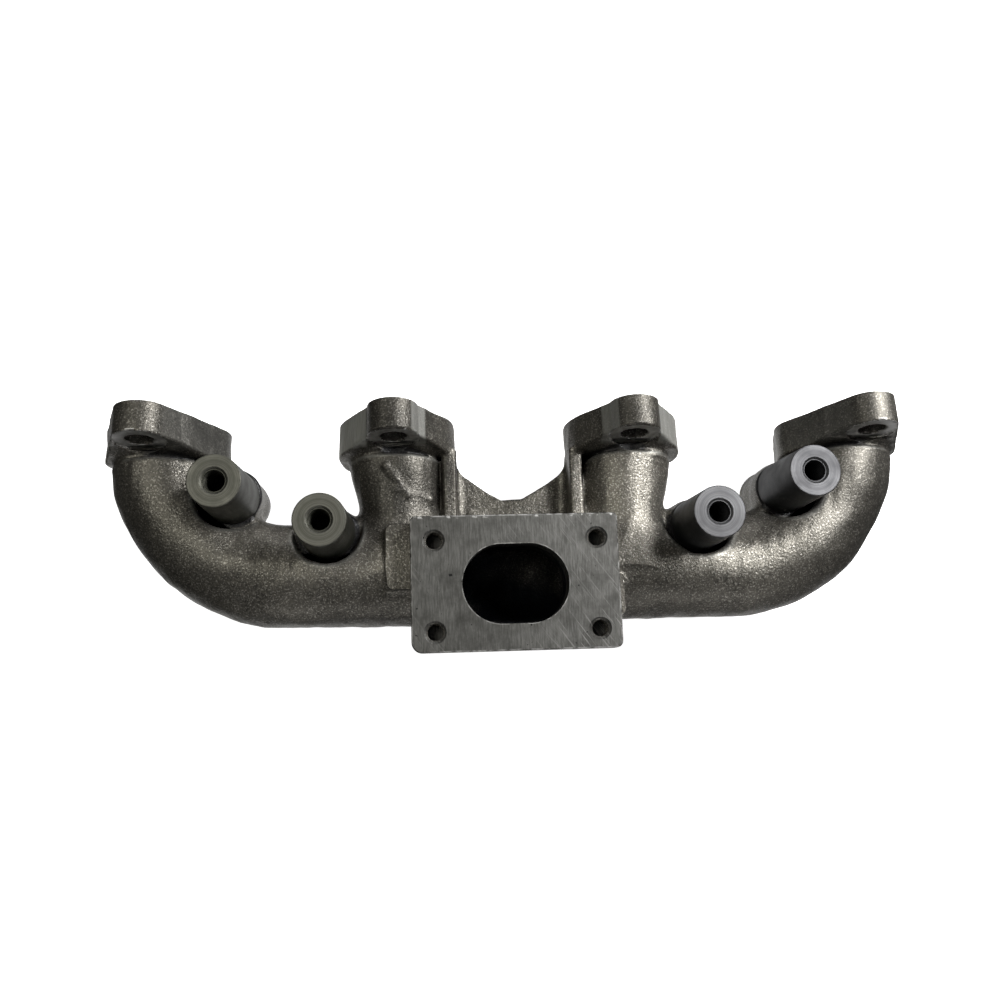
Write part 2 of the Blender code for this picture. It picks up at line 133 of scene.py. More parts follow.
# Posts: x, y, floor and radius of the recess round the foot, back of the boss
OUTER_POST = (130.0, 45.5, -25.5, 15.2, -56.0)
INNER_POST = (86.0, 28.0, -23.0, 15.2, -38.0)
POST_FACE = 15.0
POST_R = 11.5
POST_ROOT_R = 12.5
POST_HOLE = 24.0                       # depth of the tapped hole, without its cone

# Darkest and lightest tone of each post's face. The posts are alike: their tones differ from post to
# post as painted light and shade, to even out how the lamps light each one.
POST_TONES = {
    ("outer", "left"): ((0.060, 0.060, 0.049), (0.150, 0.148, 0.130)),
    ("inner", "left"): ((0.060, 0.060, 0.049), (0.160, 0.158, 0.139)),
    ("inner", "right"): ((0.050, 0.050, 0.052), (0.122, 0.122, 0.125)),
    ("outer", "right"): ((0.040, 0.040, 0.042), (0.090, 0.090, 0.093)),
}
POSTS = {"outer": OUTER_POST, "inner": INNER_POST}
SIDES = {"left": -1, "right": 1}

# Ribs beside the inner runners, and the saw cut between them and the web
RIB_X = 29.75
RIB_CUT = 27.0
WEB_CUT = 33.5

# Low ridges on the left inner runner: two ends, radius
RIDGES = (
    ((-58.9, 56.9, -15.3), (-49.1, 43.5, -17.0), 1.1),
    ((-55.0, 46.3, -16.3), (-38.7, 42.6, -22.9), 1.0),
)

# Painted light and shade: patches where the iron is painted lighter or darker, such as the right
# inner runner lighter than the left and the inner flanges darker: x, y, reach, gain
LIGHT_AND_SHADE_PATCHES = (
    (-54.0, 44.0, 21.0, -0.50), (54.0, 44.0, 21.0, 0.65),
    (-55.0, 14.0, 12.0, 1.30), (-110.0, 14.0, 28.0, 0.36),
    (108.0, 12.0, 26.0, 0.50), (166.0, 24.0, 32.0, -0.38),
    (-55.0, 74.0, 13.0, -0.50), (55.0, 74.0, 13.0, -0.52),
    (-142.0, 74.0, 17.0, -0.60), (145.0, 76.0, 20.0, -0.30),
    (-30.0, 56.0, 8.0, -0.45),
)


# ---------------------------------------------------------------- distance functions

def blend(a, b, k):
    """Union of two distances with a fillet about k wide."""
    h = np.maximum(k - np.abs(a - b), 0.0) / k
    return np.minimum(a, b) - h * h * k * 0.25


def carve(a, b, k):
    """a less b, with the edge eased over k."""
    return -blend(-a, b, k)


def rounded_box(x, y, z, centre, half, radius):
    q = [np.abs(v - c) - (h - radius) for v, c, h in zip((x, y, z), centre, half)]
    outside = np.sqrt(sum(np.maximum(v, 0) ** 2 for v in q))
    return outside + np.minimum(np.maximum(np.maximum(q[0], q[1]), q[2]), 0) - radius


def capsule_pair(x, y, a, b):
    """Distance in the plane to the hull of two discs (x, y, radius)."""
    bx, by = b[0] - a[0], b[1] - a[1]
    length = math.hypot(bx, by)
    dx, dy = bx / length, by / length
    px, py = x - a[0], y - a[1]
    along = px * dx + py * dy
    off = np.abs(-px * dy + py * dx)
    lean = (a[2] - b[2]) / length
    flat = math.sqrt(1 - lean * lean)
    k = off * -lean + along * flat
    side = off * flat + along * lean - a[2]
    ends = np.where(
        k < 0,
        np.hypot(off, along) - a[2],
        np.hypot(off, along - length) - b[2],
    )
    return np.where((k >= 0) & (k <= flat * length), side, ends)


def disc_hull(x, y, discs):
    """Distance in the plane to the hull of several discs."""
    outline = None
    count = len(discs)
    for i in range(count):
        for j in range(i + 1, count):
            pair = capsule_pair(x, y, discs[i], discs[j])
            outline = pair if outline is None else np.minimum(outline, pair)
    centre = np.mean([d[:2] for d in discs], axis=0)
    order = sorted(discs, key=lambda d: math.atan2(d[1] - centre[1], d[0] - centre[0]))
    inside = None
    for (ax, ay, _), (bx, by, _) in zip(order, order[1:] + order[:1]):
        length = math.hypot(bx - ax, by - ay)
        edge = ((x - ax) * (by - ay) - (y - ay) * (bx - ax)) / length
        inside = edge if inside is None else np.maximum(inside, edge)
    return np.where(inside < 0, np.minimum(outline, inside), outline)


def head_axes(y, z):
    """Depth back along the head face and height over the underside of its flanges."""
    depth = -(y - HEAD_Y) * math.sin(TILT) - (z - HEAD_Z) * math.cos(TILT)
    height = (y - HEAD_Y) * math.cos(TILT) - (z - HEAD_Z) * math.sin(TILT)
    return depth, height


def run_tube(ax, y, z, grow):
    """Collector, log and bend as one tube. grow is how far its wall is from the outer skin."""
    radius = LOG_R + grow
    straight = np.hypot(y - LOG_Y, z - RUN_Z) - radius
    ring = np.hypot(ax - BEND_X, y - (LOG_Y + BEND_R))
    bend = np.hypot(ring - BEND_R, z - RUN_Z) - radius
    mix = np.clip((COLLECTOR_X - ax) / 22.0, 0, 1)
    mix = mix * mix * (3 - 2 * mix)
    depth = radius - 2.2 * mix
    height = radius + 3.0 * mix
    oval = np.hypot((y - LOG_Y + 4.0 * mix) / height, (z - RUN_Z) / depth) - 1
    oval = oval * np.minimum(depth, height)
    return np.where(ax > BEND_X, bend, np.where(ax < COLLECTOR_X, oval, straight))


def inner_axis(y):
    """Height of the inner runner's axis: it leans a little between the log and the port."""
    return RUN_Z + np.clip((y - 20.0) / 40.0, 0, 1) * 2.6


def rod(x, y, z, start, end, radius):
    """Distance to a rod with round ends."""
    way = [b - a for a, b in zip(start, end)]
    offset = [v - a for v, a in zip((x, y, z), start)]
    along = sum(o * w for o, w in zip(offset, way)) / sum(w * w for w in way)
    along = np.clip(along, 0, 1)
    return np.sqrt(sum((o - w * along) ** 2 for o, w in zip(offset, way))) - radius


def stadium(x, y, half_w, half_h):
    reach = half_w - half_h
    return np.hypot(np.maximum(np.abs(x - TURBO_X) - reach, 0), y - PORT_Y) - half_h


def waist(ax, depth, height, port, swell):
    """Runner's top under its flange: a waist that swells to the full runner on the far side."""
    r = np.hypot(ax - port[0], depth - port[1])
    side = np.clip((ax - port[0]) / np.maximum(r, 1.0), 0, 1)
    side = side * side * (3 - 2 * side)
    low = np.minimum(height, 0.0)
    flare = np.maximum(low + 2.5, 0) ** 2 * 0.16 + side * np.maximum(low + 5.0, 0) ** 2 * 0.10
    return np.maximum(r - WAIST_R - swell * side - flare, np.abs(height + 0.8) - 4.8)


def web_distance(x, y, z):
    """Dipped web between the ribs: its top edge is a wide V with a round bottom."""
    edge = 44.0 + np.maximum(np.hypot(x, 5.0) - 7.0, 0) * 0.74
    top = (y - edge) * 0.8
    top = np.maximum(top, 12.0 - y)
    return np.maximum(np.maximum(top, np.abs(z + 44.5) - 6.5), np.abs(x) - 29.0)


def to_nearest_port(ax, depth):
    return np.minimum(
        np.hypot(ax - INNER_PORT[0], depth - INNER_PORT[1]),
        np.hypot(ax - OUTER_PORT[0], depth - OUTER_PORT[1]),
    )


def hollow(x, y, z, depth, height):
    """Distance to the gas passages."""
    ax = np.abs(x)
    hole = run_tube(ax, y, z, PASSAGE_R - LOG_R)
    tall = np.hypot(ax - INNER_PORT[0], z - inner_axis(y)) - (PASSAGE_R - NARROW)
    hole = np.minimum(hole, np.maximum(tall, LOG_Y - y))
    port = to_nearest_port(ax, depth)
    hole = np.where(height > -9.0, np.maximum(hole, port - (PASSAGE_R - NARROW)), hole)
    hole = blend(hole, np.maximum(port - PASSAGE_R, 2.0 - height), 1.5)
    turbo = np.maximum(stadium(x, y, PORT_W, PORT_H), RUN_Z - z)
    return blend(hole, turbo, 3.0)


def tubes(x, y, z):
    """Log, bends and inner runners, with the low ridges on the left one."""
    ax = np.abs(x)
    body = run_tube(ax, y, z, 0.0)
    across = ax - INNER_PORT[0]
    across = across - 3.0 * np.tanh((y - 47.0) / 12.0) * np.clip(across / INNER_R, 0, 1)
    inner = np.hypot(across, z - inner_axis(y)) - INNER_R
    inner = np.maximum(inner, 14.0 - y)
    body = blend(body, inner, 9.0)
    for start, end, radius in RIDGES:
        body = blend(body, rod(x, y, z, start, end, radius), 2.6)
    return body


def behind_flange(body, x, y, z, rib, web, backing):
    """body with the web, the ribs, the neck and the two pads behind the turbocharger flange."""
    body = blend(body, web, 6.0)
    body = blend(body, rib, 4.5)
    body = blend(body, backing, 3.0)
    neck = np.maximum(stadium(x, y, PORT_W + 6.8, PORT_H + 6.8), -30.0 - z)
    body = blend(body, neck, 7.0)
    left_pad = rounded_box(x, y, z, (-46.0, 14.5, -20.0), (13.0, 14.5, 14.0), 3.0)
    right_pad = rounded_box(x, y, z, (39.0, -4.8, -20.0), (8.5, 8.8, 12.0), 2.5)
    return blend(body, np.minimum(left_pad, right_pad), 3.0)


def with_bosses(body, ax, y, z):
    """body with the domed bosses that carry the posts."""
    for px, py, _, _, back in POSTS.values():
        r = np.hypot(ax - px, y - py)
        boss = np.maximum(r - 13.0, np.maximum(back - z, z + 19.0))
        dome = np.maximum(r - 8.0, 0) * 0.35
        boss = np.maximum(boss, back + dome - z)
        body = blend(body, boss, 5.0)
    return body


def with_waists(body, ax, depth, height, walls):
    """body cut off at a shoulder under each flange, with the waists on top."""
    lip = np.maximum(body, height + WAIST)
    eased = -blend(-body, -(height + WAIST), 1.8)
    body = np.minimum(np.maximum(lip, eased), np.maximum(walls, height))
    outer_waist = waist(ax, depth, height, OUTER_PORT, 8.0)
    inner_waist = waist(ax, depth, height, INNER_PORT, 4.8)
    return blend(body, np.minimum(outer_waist, inner_waist), 1.6)


def flange_plates(ax, depth, height):
    """Head flanges. They run past the head face, where they are sawn off flat."""
    plan = disc_hull(ax, depth, INNER_DISCS)
    ear_x, ear_depth, ear_r = INNER_EAR
    plan = blend(plan, np.hypot(ax - ear_x, depth - ear_depth) - ear_r, 0.5)
    plan = np.minimum(plan, disc_hull(ax, depth, OUTER_DISCS))
    sag = HEAD_SAG * np.clip((depth - 5.0) / 9.0, 0, 1)
    slab = np.maximum(-sag - height, height - HEAD_T - 4.0)
    qx, qz = plan + HEAD_RIM, slab + HEAD_RIM
    outside = np.hypot(np.maximum(qx, 0), np.maximum(qz, 0))
    return np.minimum(np.maximum(qx, qz), 0) + outside - HEAD_RIM


def casting(p):
    """Distance to the casting's skin, negative inside the iron."""
    x, y, z = p[:, 0], p[:, 1], p[:, 2]
    ax = np.abs(x)
    depth, height = head_axes(y, z)
    rib = rounded_box(ax, y, z, (RIB_X, 50.0, -32.9), (3.0, 34.0, 10.8), 1.3)
    backing = rounded_box(ax, y, z, (41.0, 50.0, -46.0), (12.0, 34.0, 5.0), 1.6)
    web = web_distance(x, y, z)

    body = behind_flange(tubes(x, y, z), x, y, z, rib, web, backing)
    body = with_bosses(body, ax, y, z)
    body = with_waists(body, ax, depth, height, blend(blend(rib, backing, 2.0), web, 5.0))
    body = blend(body, flange_plates(ax, depth, height), 2.2)
    body = carve(body, hollow(x, y, z, depth, height), 0.8)

    # Bolt holes, their spot faces, and the turned recess round each post
    for bx, bd in BOLTS:
        r = np.hypot(ax - bx, depth - bd)
        body = np.maximum(body, BOLT_R - r)
        sweep = np.maximum(height - SPOT_SINK, -SPOT_REACH - height)
        body = np.maximum(body, -np.maximum(r - SPOT_R, sweep))
    for px, py, floor, recess, _ in POSTS.values():
        r = np.hypot(ax - px, y - py)
        body = carve(body, np.maximum(r - recess, floor - z), 2.4)
    return body


def unevenness(p):
    """Slow swells of a sand casting, in millimetres."""
    x, y, z = p[:, 0], p[:, 1], p[:, 2]
    rng = np.random.default_rng(SEED)
    total = np.zeros(len(p))
    for wave, height in SWELLS:
        for _ in range(4):
            way = rng.normal(size=3)
            way *= 2 * math.pi / (wave * np.linalg.norm(way))
            total += height * np.sin(way[0] * x + way[1] * y + way[2] * z + rng.uniform(0, 6.3))
    return total


def skin(p):
    return casting(p) + unevenness(p) * np.clip((SWELL_TOP - p[:, 2]) / SWELL_FADE, 0, 1)


# ---------------------------------------------------------------- surface of the casting

def in_chunks(function, points, size=200000):
    return np.concatenate([function(points[i:i + size]) for i in range(0, len(points), size)])


def sample_grid():
    """Distances on a regular grid, exact near the skin and only signed elsewhere."""
    low = np.array(GRID_LOW)
    high = np.array(GRID_HIGH)
    step = CELL * COARSE
    counts = np.ceil((high - low) / step).astype(int)
    axes = [low[i] + step * (np.arange(counts[i]) + 0.5) for i in range(3)]
    points = np.stack(np.meshgrid(*axes, indexing="ij"), -1).reshape(-1, 3)
    rough = in_chunks(casting, points).reshape(counts)
    fine_counts = counts * COARSE
    near = np.abs(rough) < step * 1.15
    values = np.repeat(np.repeat(np.repeat(rough, COARSE, 0), COARSE, 1), COARSE, 2)
    wanted = np.repeat(np.repeat(np.repeat(near, COARSE, 0), COARSE, 1), COARSE, 2)
    index = np.argwhere(wanted)
    fine = low + CELL * (index + 0.5)
    values[wanted] = in_chunks(skin, fine)
    for axis in range(3):
        edge = [slice(None)] * 3
        edge[axis] = [0, fine_counts[axis] - 1]
        values[tuple(edge)] = np.maximum(values[tuple(edge)], 1.0)
    return values, low + CELL * 0.5


def surface_nets(values, low):
    """Quads of the zero surface: one point in each cell that the surface crosses."""
    inside = values < 0
    corners = [(i, j, k) for i in (0, 1) for j in (0, 1) for k in (0, 1)]
    size = np.array(values.shape) - 1

    def corner(array, c):
        return array[c[0]:c[0] + size[0], c[1]:c[1] + size[1], c[2]:c[2] + size[2]]

    count = sum(corner(inside, c).astype(np.int8) for c in corners)
    crossed = (count > 0) & (count < 8)
    cells = np.argwhere(crossed)
    number = np.full(crossed.shape, -1, np.int64)
    number[crossed] = np.arange(len(cells))
    total = np.zeros((len(cells), 3))
    hits = np.zeros(len(cells))
    for a in corners:
        for axis in range(3):
            if a[axis]:
                continue
            b = list(a)
            b[axis] = 1
            va = values[tuple((cells + a).T)]
            vb = values[tuple((cells + b).T)]
            cross = (va < 0) != (vb < 0)
            t = np.where(cross, va / np.where(cross, va - vb, 1.0), 0.0)
            place = np.tile(np.array(a, float), (len(cells), 1))
            place[:, axis] += t
            total += place * cross[:, None]
            hits += cross
    points = low + CELL * (cells + total / hits[:, None])
    quads = []
    for axis in range(3):
        u, v = (axis + 1) % 3, (axis + 2) % 3
        shape = [slice(1, n) for n in size]
        shape[axis] = slice(0, size[axis])
        a = inside[tuple(shape)]
        ahead = list(shape)
        ahead[axis] = slice(1, size[axis] + 1)
        b = inside[tuple(ahead)]
        for flip in (False, True):
            found = np.argwhere((a & ~b) if not flip else (~a & b))
            offset = np.array([s.start for s in shape])
            base = found + offset
            ring = []
            for du, dv in ((0, 0), (-1, 0), (-1, -1), (0, -1)):
                cell = base.copy()
                cell[:, u] += du
                cell[:, v] += dv
                ring.append(number[tuple(cell.T)])
            ring = np.stack(ring, 1)
            quads.append(ring[:, ::-1] if flip else ring)
    return points, np.concatenate(quads)


def gradient(function, points, step=0.25):
    total = np.zeros_like(points)
    for way in ((1, -1, -1), (-1, -1, 1), (-1, 1, -1), (1, 1, 1)):
        way = np.array(way, float)
        total += way * in_chunks(function, points + step * way)[:, None]
    return total / (4 * step)


def pull_to_skin(points):
    for _ in range(3):
        slope = gradient(skin, points)
        square = np.maximum((slope ** 2).sum(1), 0.25)
        move = -(in_chunks(skin, points) / square)[:, None] * slope
        length = np.linalg.norm(move, axis=1)[:, None]
        points = points + move * np.minimum(1, 0.4 * CELL / np.maximum(length, 1e-9))
    return points


# ---------------------------------------------------------------- pieces of the casting

def as_bmesh(points, quads):
    mesh = bpy.data.meshes.new("rough")
    mesh.vertices.add(len(points))
    mesh.vertices.foreach_set("co", points.astype(np.float32).ravel())
    mesh.loops.add(quads.size)
    mesh.loops.foreach_set("vertex_index", quads.astype(np.int32).ravel())
    mesh.polygons.add(len(quads))
    mesh.polygons.foreach_set("loop_start", np.arange(0, quads.size, 4, dtype=np.int32))
    mesh.update(calc_edges=True)
    bm = bmesh.new()
    bm.from_mesh(mesh)
    bpy.data.meshes.remove(mesh)
    bm.faces.layers.int.new("cap")
    return bm


def saw(bm, point, normal, machined=False):
    """Split bm along a plane. Returns the part the normal points to and the other part."""
    other = bm.copy()
    for part in (bm, other):
        cap = part.faces.layers.int["cap"]
        geometry = list(part.verts) + list(part.edges) + list(part.faces)
        found = bmesh.ops.bisect_plane(
            part, geom=geometry, dist=1e-5, plane_co=point, plane_no=normal,
            clear_inner=part is bm, clear_outer=part is other,
        )
        edges = [item for item in found["geom_cut"] if isinstance(item, bmesh.types.BMEdge)]
        edges = [edge for edge in edges if len(edge.link_faces) == 1]
        if not edges:
            continue
        way = Vector(normal) if part is other else -Vector(normal)
        filled = bmesh.ops.triangle_fill(part, use_beauty=True, edges=edges, normal=way)
        for item in filled["geom"]:
            if isinstance(item, bmesh.types.BMFace):
                item[cap] = 2 if machined else 1
                item.normal_update()
                if item.normal.dot(way) < 0:
                    item.normal_flip()
    return bm, other


def split_by_side(bm):
    """The halves of bm at x under and over zero, which don't touch."""
    left = bm.copy()
    for part, sign in ((bm, 1), (left, -1)):
        spare = [v for v in part.verts if v.co.x * sign < 0]
        bmesh.ops.delete(part, geom=spare, context="VERTS")
    return left, bm


def read(items, key, width, kind=float):
    """One property of all of a mesh's vertices, loops or polygons."""
    values = np.empty(len(items) * width, kind)
    items.foreach_get(key, values)
    return values.reshape(-1, width) if width > 1 else values


def shading_normals(mesh, points, is_cap):
    """Normals of the corners: the distance function's slope, or a face's own on the cuts."""
    slopes = gradient(skin, points)
    slopes /= np.maximum(np.linalg.norm(slopes, axis=1), 1e-6)[:, None]
    sizes = read(mesh.polygons, "loop_total", 1, np.int32)
    flat = np.repeat(read(mesh.polygons, "normal", 3), sizes, 0)
    normals = slopes[read(mesh.loops, "vertex_index", 1, np.int32)]
    use_flat = np.repeat(is_cap, sizes) | ((normals * flat).sum(1) < 0.2)
    normals[use_flat] = flat[use_flat]
    return normals


def cast_piece(name, bm, nodes, materials):
    """Object of a sawn part, its shading taken from the distance function."""
    bm.normal_update()
    mesh = bpy.data.meshes.new(name)
    cap = bm.faces.layers.int["cap"]
    for face in bm.faces:
        face.smooth = True
        face.material_index = 1 if face[cap] == 2 and len(materials) > 1 else 0
    is_cap = np.array([face[cap] > 0 for face in bm.faces])
    bm.to_mesh(mesh)
    bm.free()
    points = read(mesh.vertices, "co", 3)
    normals = shading_normals(mesh, points, is_cap)
    for key, function in (("black_and_shade", blackened_and_painted_shade), ("ground_and_painted_light", ground_and_painted_light), ("light_and_shade", painted_light_and_shade)):
        layer = mesh.attributes.new(key, "FLOAT", "POINT")
        layer.data.foreach_set("value", function(points).astype(np.float32))
    if len(materials) > 1:
        machined = on_spot_face(read(mesh.polygons, "center", 3))
        kinds = read(mesh.polygons, "material_index", 1, np.int32)
        mesh.polygons.foreach_set("material_index", np.where(machined, 2, kinds).astype(np.int32))
    world = points * MM + np.array(ORIGIN)
    mesh.vertices.foreach_set("co", world.astype(np.float32).ravel())
    for material in materials:
        mesh.materials.append(material)
    mesh.update()
    mesh.normals_split_custom_set(normals.astype(np.float32).tolist())
    obj = bpy.data.objects.new(name, mesh)
    bpy.context.scene.collection.objects.link(obj)
    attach(obj, "root")
    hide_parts(*nodes)
    return obj


def blackened_and_painted_shade(points):
    """How black the skin is: inside the gas passages, and painted shade in the recesses round the
    posts and under the flanges.
    """
    x, y, z = points.T
    ax = np.abs(x)
    depth, height = head_axes(y, z)
    black = np.clip(1.0 - hollow(x, y, z, depth, height) / 1.2, 0, 1)
    # Painted shade in the recess round each post's foot
    for px, py, floor, recess, _ in POSTS.values():
        r = np.hypot(ax - px, y - py)
        inside = (z < floor + 3.0) & (z > floor - 2.0)
        black = np.maximum(black, 0.85 * np.clip((recess - 0.2 - r) / 0.8, 0, 1) * inside)
    # Painted shade under each flange, round its waist
    for port_x, port_depth in (INNER_PORT, OUTER_PORT):
        r = np.hypot(ax - port_x, depth - port_depth)
        under = (height > 0.5 - WAIST) & (height < 0.4) & (depth < port_depth)
        black = np.maximum(black, 0.8 * np.clip((20.5 - r) / 1.5, 0, 1) * under)
    return black


def painted_light_and_shade(points):
    """How much lighter or darker the iron is painted, as painted light and shade."""
    x, y, _ = points.T
    total = np.zeros(len(points))
    for centre_x, centre_y, reach, gain in LIGHT_AND_SHADE_PATCHES:
        total += gain * np.exp(-((x - centre_x) ** 2 + (y - centre_y) ** 2) / reach ** 2)
    return total


def ground_and_painted_light(points):
    """How smooth and pale the skin is: ground flat sides of the flanges, with painted light on the
    far side of the inner left one, and painted highlights on the rims of the recesses and the
    shoulders.
    """
    x, y, z = points.T
    ax = np.abs(x)
    depth, height = head_axes(y, z)
    upper = np.clip((height + 1.2) / 0.8, 0, 1)
    far = np.clip((ax - INNER_EAR[0] - INNER_EAR[2] - 0.2) / 0.5, 0, 1) * (ax < 100)
    near = np.clip((47.0 - ax) / 0.5, 0, 1) * np.clip((ax - 40.4) / 0.5, 0, 1)
    sides = np.clip((157.0 - ax) / 2.0, 0, 1) * (ax > 110)
    # Painted light: the inner left flange's far facet gets the full pale colour and the right one 0.6
    # of it, as the lamps from the right leave the left one darker
    far = far * np.where(x < 0, 1.0, 0.6)
    smooth = upper * np.maximum(np.maximum(far, 0.5 * near) * (depth < 34), 0.13 * sides)
    # Painted highlight on the eased rim round each post's recess
    for px, py, floor, recess, _ in POSTS.values():
        edge = np.hypot(ax - px, y - py) - recess - 1.3
        smooth = np.maximum(smooth, 0.30 * np.exp(-edge * edge) * (z > floor - 1.0))
    # Painted highlight along the shoulder lip under each flange's front
    for port_x, port_depth in (INNER_PORT, OUTER_PORT):
        near_port = np.hypot(ax - port_x, depth - port_depth) < 24.0
        lip = (height + WAIST + 0.5) / 0.6
        smooth = np.maximum(smooth, 0.40 * np.exp(-lip * lip) * near_port * (depth < port_depth - 5))
    return smooth


def on_spot_face(points):
    x, y, z = points.T
    depth, height = head_axes(y, z)
    found = np.zeros(len(points), bool)
    for bx, bd in BOLTS:
        found |= np.hypot(np.abs(x) - bx, depth - bd) < SPOT_R + 0.4
    return found & (np.abs(height - SPOT_SINK) < 0.45)


def head_plane(height):
    normal = Vector((0, math.cos(TILT), -math.sin(TILT)))
    return Vector((0, HEAD_Y, HEAD_Z)) + normal * height, normal


def build_casting(iron, face_iron, spot):
    values, low = sample_grid()
    points, quads = surface_nets(values, low)
    points = pull_to_skin(points)
    bm = as_bmesh(points, quads)

    flanges, below = saw(bm, *head_plane(-SEAM))
    beyond, flanges = saw(flanges, *head_plane(HEAD_T), machined=True)
    beyond.free()
    between = 122                      # clear of the inner and the outer flanges
    outer, inner = saw(flanges, (between, 0, 0), (1, 0, 0))
    left_outer, inner = saw(inner, (-between, 0, 0), (-1, 0, 0))
    left_inner, right_inner = split_by_side(inner)
    plates = (left_outer, left_inner, right_inner, outer)
    for number, plate in enumerate(plates, 1):
        name = f"head_flange_{number}"
        cast_piece(name, plate, [name], [iron, face_iron, spot])

    above, below = saw(below, (0, 0, -TURBO_T), (0, 0, 1))
    above.free()
    for side, sign in SIDES.items():
        outer, below = saw(below, (sign * BEND_X, 0, 0), (sign, 0, 0))
        along = (sign * math.cos(BEND_SPLIT), math.sin(BEND_SPLIT), 0)
        runner, bend = saw(outer, (sign * BEND_X, LOG_Y + BEND_R, 0), along)
        cast_piece(f"outer_bend_{side}", bend, [f"outer_bend_{side}"], [iron])
        cast_piece(f"outer_runner_{side}", runner, [f"outer_runner_{side}"], [iron])
        log, below = saw(below, (sign * TEE_X, 0, 0), (sign, 0, 0))
        cast_piece(f"log_{side}", log, [f"log_{side}"], [iron])
        tee, below = saw(below, (sign * (COLLECTOR_X + 0.25), 0, 0), (sign, 0, 0))
        runner, tee = saw(tee, (0, WEB_CUT, 0), (0, 1, 0))
        cast_piece(f"inner_runner_{side}", runner, [f"inner_runner_{side}"], [iron])
        cast_piece(f"junction_{side}", tee, [f"junction_{side}", f"turbo_pad_{side}"], [iron])
    top, collector = saw(below, (0, WEB_CUT, 0), (0, 1, 0))
    for side, sign in SIDES.items():
        rib, top = saw(top, (sign * RIB_CUT, 0, 0), (sign, 0, 0))
        cast_piece(f"rib_{side}", rib, [f"rib_{side}"], [iron])
    cast_piece("saddle_web", top, ["saddle_web"], [iron])
    neck, collector = saw(collector, (0, 0, -15.5), (0, 0, 1))
    cast_piece("turbo_neck", neck, ["turbo_neck"], [iron])
    cast_piece("collector", collector, ["collector"], [iron])


# ---------------------------------------------------------------- machined pieces

def lathe(profile, segments, centre=(0, 0)):
    """Turned surface through (radius, z) points. Returns points and faces."""
    points = []
    rows = []
    for radius, z in profile:
        if radius < 1e-6:
            rows.append([len(points)])
            points.append((centre[0], centre[1], z))
            continue
        rows.append(list(range(len(points), len(points) + segments)))
        for i in range(segments):
            a = 2 * math.pi * i / segments
            points.append((centre[0] + radius * math.cos(a), centre[1] + radius * math.sin(a), z))
    faces = []
    for low, high in zip(rows, rows[1:]):
        for i in range(segments):
            j = (i + 1) % segments
            ring = [low[i % len(low)], low[j % len(low)], high[j % len(high)], high[i % len(high)]]
            faces.append(list(dict.fromkeys(ring)))
    return points, [face for face in faces if len(face) > 2]


def thread(centre, top, bottom, root, crest, pitch, segments=40, rows_per_turn=8):
    """Sleeve whose inside is a helical thread between radius root and crest."""
    rows = int((top - bottom) / pitch * rows_per_turn)
    points = []
    for row in range(rows + 1):
        z = top - (top - bottom) * row / rows
        for i in range(segments):
            turn = i / segments
            wave = ((top - z) / pitch + turn) % 1.0
            wave = min(wave, 1 - wave) * 2
            fade = min(1.0, row / rows_per_turn)
            radius = root + (crest - root) * wave * fade
            a = 2 * math.pi * turn
            points.append((centre[0] + radius * math.cos(a), centre[1] + radius * math.sin(a), z))
    for z in (bottom, top):
        for i in range(segments):
            a = 2 * math.pi * i / segments
            outer = root + 0.5
            points.append((centre[0] + outer * math.cos(a), centre[1] + outer * math.sin(a), z))
    loops = rows + 3
    faces = []
    for row in range(loops):
        following = (row + 1) % loops
        for i in range(segments):
            j = (i + 1) % segments
            faces.append([row * segments + j, row * segments + i,
                          following * segments + i, following * segments + j])
    return points, faces


def add_faces(bm, points, faces):
    made = [bm.verts.new(point) for point in points]
    for face in faces:
        bm.faces.new([made[i] for i in face])


def exact_piece(name, parts, material):
    """Object of several (points, faces) parts in the drawing frame, for the node of its name."""
    bm = bmesh.new()
    for points, faces in parts:
        add_faces(bm, points, faces)
    bmesh.ops.recalc_face_normals(bm, faces=bm.faces)
    mesh = bpy.data.meshes.new(name)
    bm.transform(Matrix.Translation(ORIGIN) @ Matrix.Scale(MM, 4))
    bm.to_mesh(mesh)
    bm.free()
    mesh.shade_smooth()
    mesh.set_sharp_from_angle(angle=math.radians(30))
    mesh.materials.append(material)
    obj = bpy.data.objects.new(name, mesh)
    bpy.context.scene.collection.objects.link(obj)
    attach(obj, "root")
    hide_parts(name)


def build_posts(materials):
    for kind, (x, y, floor, _, _) in POSTS.items():
        for side, sign in SIDES.items():
            centre = (sign * x, y)
            root = floor - 2.5
            edge = 0.35
            profile = (
                (0, root),
                (POST_ROOT_R, root),
                (POST_ROOT_R, floor),
                (POST_R, POST_FACE - edge),
                (POST_R - edge, POST_FACE),
                (6.0, POST_FACE),
                (4.5, POST_FACE - 1.5),
                (4.5, POST_FACE - POST_HOLE),
                (0, POST_FACE - POST_HOLE - 2.5),
            )
            parts = [
                lathe(profile, 96, centre),
                thread(centre, POST_FACE - 0.9, POST_FACE - POST_HOLE + 1.0, 4.75, 4.15, 1.5),
            ]
            exact_piece(f"{kind}_post_{side}", parts, materials[kind, side])


def apply_booleans(obj, cutters):
    for cutter in cutters:
        modifier = obj.modifiers.new("cut", "BOOLEAN")
        modifier.operation = "DIFFERENCE"
        modifier.solver = "EXACT"
        modifier.object = cutter
    graph = bpy.context.evaluated_depsgraph_get()
    mesh = bpy.data.meshes.new_from_object(obj.evaluated_get(graph))
    obj.modifiers.clear()
    old = obj.data
    obj.data = mesh
    bpy.data.meshes.remove(old)
    for cutter in cutters:
        bpy.data.objects.remove(cutter)


